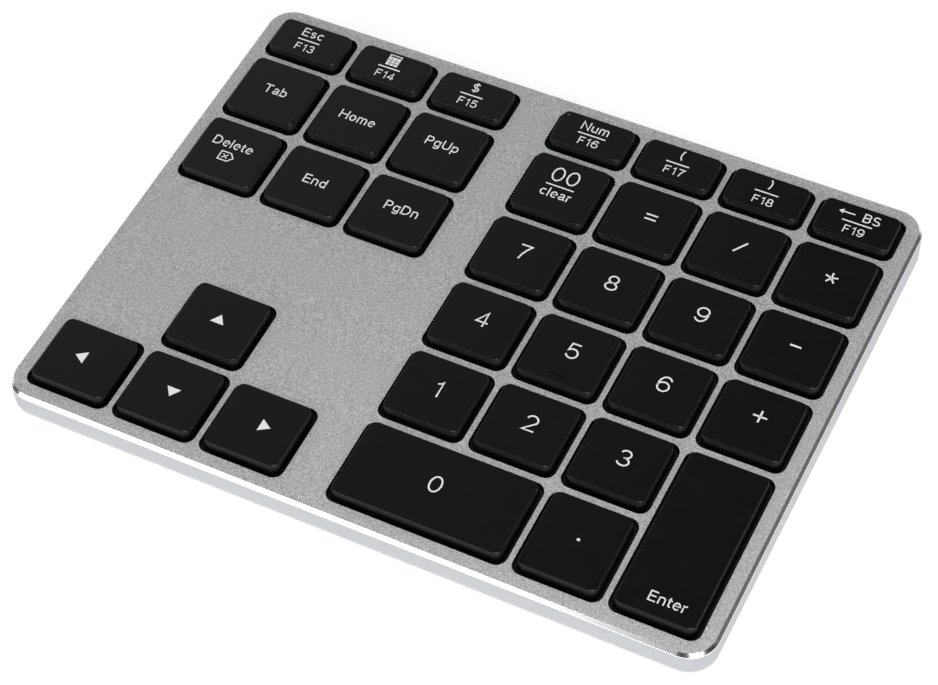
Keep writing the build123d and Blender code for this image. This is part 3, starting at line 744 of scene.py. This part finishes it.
# Each finish: its dark and light colour, grain in metres and roughness
finishes = {
    "rubber_feet": plasticMaterial("footPaint", grey(0.018), grey(0.035), 0.0006, 0.65),
    "case_screws": metalMaterial("screwPaint", grey(0.42), grey(0.60), 0.0005, 0.28),
    "switch_plate": metalMaterial("steelPaint", grey(0.40), grey(0.56), 0.0006, 0.34),
    # a dark film painted near black, as painted shade for the gaps under the keys
    "membrane_sheet": plasticMaterial("filmPaint", grey(0.004), grey(0.009), 0.003, 0.4),
    "indicator_led": plasticMaterial("ledPaint", (0.75, 0.76, 0.62), (0.85, 0.85, 0.74), 0.0005, 0.3),
    "indicator_lens": plasticMaterial("lensPaint", *lensGrey, 0.0004, 0.2, IOR=1.5),
    "controller_board": plasticMaterial("boardPaint", *boardGreen, 0.0012, 0.25),
    "board_components": plasticMaterial("chipPaint", grey(0.012), grey(0.028), 0.0004, 0.45),
    "membrane_connector": plasticMaterial("connectorPaint", grey(0.5), grey(0.62), 0.0006, 0.4),
    "radio_module": metalMaterial("shieldPaint", grey(0.50), grey(0.68), 0.0008, 0.25),
    "battery_cell": metalMaterial("foilPaint", grey(0.55), grey(0.70), 0.0030, 0.38),
    "battery_leads": plasticMaterial("leadPaint", *leadRed, 0.0008, 0.35),
    "usb_socket_tongue": plasticMaterial("tonguePaint", grey(0.012), grey(0.025), 0.0005, 0.35),
}
sharedFinishes = {
    "plate_rivets": "case_screws",
    "zero_key_stabiliser": "case_screws",
    "enter_key_stabiliser": "case_screws",
    "usb_socket_shell": "radio_module",
    "power_switch_body": "radio_module",
    "battery_connector": "membrane_connector",
}
for name, material in finishes.items():
    dress(name, material)
for name, other in sharedFinishes.items():
    dress(name, finishes[other])
print("inner parts dressed")

cameraSetup = {
    "place": (0.15568, -0.28672, 0.40226),
    "aim": (0.003883, -0.009282, 0.007418),
    "roll": -3.104,  # degrees
    "lens": 101.3,
    "nearest": 0.01,
}


def makeCamera():
    setup = cameraSetup
    data = bpy.data.cameras.new("camera")
    data.lens = setup["lens"]
    data.clip_start = setup["nearest"]
    camera = bpy.data.objects.new("camera", data)
    bpy.context.scene.collection.objects.link(camera)
    place = Vector(setup["place"])
    look = (Vector(setup["aim"]) - place).normalized()
    turn = look.to_track_quat("-Z", "Y").to_matrix().to_4x4()
    camera.matrix_world = Matrix.Translation(place) @ turn @ Matrix.Rotation(radians(setup["roll"]), 4, "Z")
    bpy.context.scene.camera = camera


makeCamera()

floorLook = {"reach": 2.5, "drop": 0.00002, "glow": 0.35, "roughness": 0.9, "mottle": 0.4}


def makeFloor():
    # a white sheet that glows a little, just under the feet
    look = floorLook
    mesh = bpy.data.meshes.new("floor")
    reach = look["reach"]
    corners = [(across, along, 0) for across, along in frameOf(-reach, -reach, reach, reach)]
    mesh.from_pydata(corners, [], [(0, 1, 2, 3)])
    floor = bpy.data.objects.new("floor", mesh)
    bpy.context.scene.collection.objects.link(floor)
    glow = {"Emission_Color": (1, 1, 1, 1), "Emission_Strength": look["glow"]}
    paint = Paint("floorPaint", Roughness=look["roughness"], **glow)
    mottle = paint.noise(look["mottle"], 1.0)
    mesh.materials.append(paint.link(Base_Color=paint.blend(mottle, grey(0.93), grey(0.95))))
    floor.location.z = -look["drop"]


makeFloor()

# Each lamp points at the origin: its name, place, size and power
lamps = [
    ("frontLeftSoft", (-0.75, -1.1, 0.7), (1.0, 0.6), 4.6),
    ("frontRightSoft", (0.9, -0.85, 0.8), (0.8, 0.6), 5.0),
    ("overheadSoft", (0.25, -0.35, 1.3), (0.7, 0.5), 10.5),
    ("rightBackSoft", (1.1, 0.7, 0.7), (0.8, 0.6), 1.2),
]
skyLook = {"dark": 0.03, "bright": 0.55, "towards": (-0.579, 0.579, 0.574), "from": 0.895, "to": 0.965}


def makeLamps():
    for name, place, size, power in lamps:
        data = bpy.data.lights.new(name, "AREA")
        data.shape = "RECTANGLE"
        data.size, data.size_y = size
        data.energy = power
        lamp = bpy.data.objects.new(name, data)
        bpy.context.scene.collection.objects.link(lamp)
        lamp.location = place
        lamp.rotation_euler = (-Vector(place)).to_track_quat("-Z", "Y").to_euler()


def makeSky():
    # a dim surround with one bright patch, part way up at the back left
    world = bpy.data.worlds.new("studio")
    bpy.context.scene.world = world
    world.use_nodes = True
    sky = Graph(world.node_tree)
    background = world.node_tree.nodes["Background"]
    way = sky.add("ShaderNodeTexCoord", output="Generated")
    values = {0: way, 1: Vector(skyLook["towards"]).normalized()}
    facing = sky.add("ShaderNodeVectorMath", {"operation": "DOT_PRODUCT"}, values, "Value")
    share = facing.smooth(skyLook["from"], skyLook["to"])
    strength = share * (skyLook["bright"] - skyLook["dark"]) + skyLook["dark"]
    sky.tree.links.new(strength.socket, background.inputs["Strength"])
    background.inputs["Color"].default_value = (1, 1, 1, 1)
    bpy.context.scene.view_settings.view_transform = "Standard"


makeSky()
makeLamps()
print("camera, floor and light ready")
